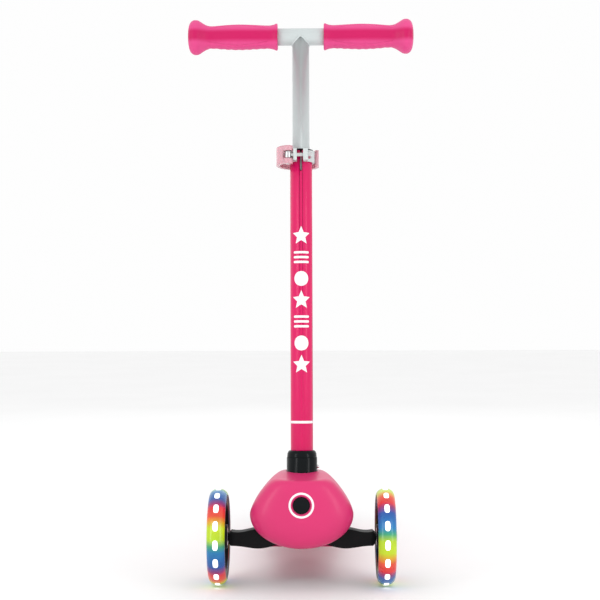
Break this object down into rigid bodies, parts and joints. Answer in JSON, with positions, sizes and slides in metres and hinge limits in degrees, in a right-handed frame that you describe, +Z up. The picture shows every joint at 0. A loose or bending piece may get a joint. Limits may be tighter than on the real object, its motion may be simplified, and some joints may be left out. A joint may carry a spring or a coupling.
{
  "type": "kick scooter",
  "caption": "Child's lean-to-steer kick scooter with a T-bar, egg-shaped front cover, glowing rainbow front wheels and a rear brake.",
  "frame": {"origin": "on the floor, midway along the length and the width", "axes": "+Z up, the front faces -Y, wheels turn about X"},
  "size_m": [0.294, 0.56, 0.7248],
  "materials": {
    "pink_paint": "gloss powder coat",
    "pink_shell": "satin moulded",
    "pink_grip": "soft moulded TPR",
    "pink_lever": "pale translucent",
    "black_plastic": "fine grained",
    "black_gloss": "smooth",
    "alu": "satin anodised",
    "steel": "zinc plated",
    "tyre_rainbow": "translucent cast PU in rainbow bands",
    "light_window": "glowing window",
    "tyre_rear": "cast PU",
    "black_rubber": "moulded",
    "deck_mat": "ribbed"
  },
  "bodies": {
    "deck": {"deck_shell": "pink_shell", "deck_mat": "deck_mat", "deck_screws": "steel", "head_housing": "pink_shell", "front_cover": "pink_shell", "head_block": "black_plastic", "kingpin": "steel", "kingpin_nut": "steel", "steer_buffers": "black_rubber", "tbar_socket": "black_gloss", "socket_ring": "black_gloss", "lock_guide": "black_plastic", "lock_spring": "steel", "outer_tube": "pink_paint", "tube_foot_plug": "black_plastic", "clamp_bush": "black_plastic", "clamp_collar": "alu", "clamp_bolt": "steel", "clamp_nut": "steel", "rear_axle": "steel", "rear_axle_nut": "steel", "rear_spacers": "steel", "brake_hinge_pin": "steel"},
    "front_truck": {"truck_beam": "black_plastic", "truck_bushes": "black_plastic", "front_axles": "steel"},
    "left_wheel": {"left_tyre": "tyre_rainbow", "left_light_windows": "light_window", "left_wheel_core": "black_plastic", "left_bearings": "steel", "left_hub_spacer": "steel"},
    "right_wheel": {"right_tyre": "tyre_rainbow", "right_light_windows": "light_window", "right_wheel_core": "black_plastic", "right_bearings": "steel", "right_hub_spacer": "steel"},
    "rear_wheel": {"rear_tyre": "tyre_rear", "rear_wheel_core": "black_plastic", "rear_bearings": "steel", "rear_hub_spacer": "steel"},
    "brake": {"brake_fender": "black_plastic", "brake_pad": "steel"},
    "lock_button": {"lock_button": "black_gloss"},
    "snap_pin": {"snap_pin": "steel"},
    "clamp_lever": {"clamp_lever": "pink_lever", "cam_pin": "steel"},
    "handlebar": {"inner_stem": "alu", "stem_foot_guide": "black_plastic", "crossbar": "alu", "left_grip": "pink_grip", "right_grip": "pink_grip"}
  },
  "joints": [
    {"name": "lean_steer", "type": "hinge", "parent": "deck", "child": "front_truck", "pos_m": [0, -0.2195, 0.0684], "axis": [0, -0.7071, 0.7071], "range_deg": [-15, 15], "stiffness_Nm_per_rad": 40, "deforming": ["steer_buffers"]},
    {"name": "left_wheel_spin", "type": "hinge", "parent": "front_truck", "child": "left_wheel", "pos_m": [-0.105, -0.2195, 0.0605], "axis": [1, 0, 0], "continuous": true},
    {"name": "right_wheel_spin", "type": "hinge", "parent": "front_truck", "child": "right_wheel", "pos_m": [0.105, -0.2195, 0.0605], "axis": [1, 0, 0], "continuous": true},
    {"name": "rear_wheel_spin", "type": "hinge", "parent": "deck", "child": "rear_wheel", "pos_m": [0, 0.2335, 0.04], "axis": [1, 0, 0], "continuous": true},
    {"name": "brake_press", "type": "hinge", "parent": "deck", "child": "brake", "pos_m": [0, 0.1815, 0.06], "axis": [-1, 0, 0], "range_deg": [0, 2.2], "stiffness_Nm_per_rad": 3, "springref_deg": -2.86},
    {"name": "lock_push", "type": "slide", "parent": "deck", "child": "lock_button", "axis": [0, 1, 0], "range_m": [0, 0.004], "stiffness_N_per_m": 400, "springref_m": -0.002, "deforming": ["lock_spring"]},
    {"name": "snap_pin_push", "type": "slide", "parent": "deck", "child": "snap_pin", "axis": [-1, 0, 0], "range_m": [0, 0.004], "stiffness_N_per_m": 400, "springref_m": -0.002},
    {"name": "clamp_lever_open", "type": "hinge", "parent": "deck", "child": "clamp_lever", "pos_m": [-0.0165, -0.1928, 0.54452], "axis": [0, 0.0698, 0.9976], "range_deg": [0, 120]},
    {"name": "handlebar_height", "type": "slide", "parent": "deck", "child": "handlebar", "axis": [0, 0.0698, 0.9976], "range_m": [-0.05, 0.05]}
  ]
}
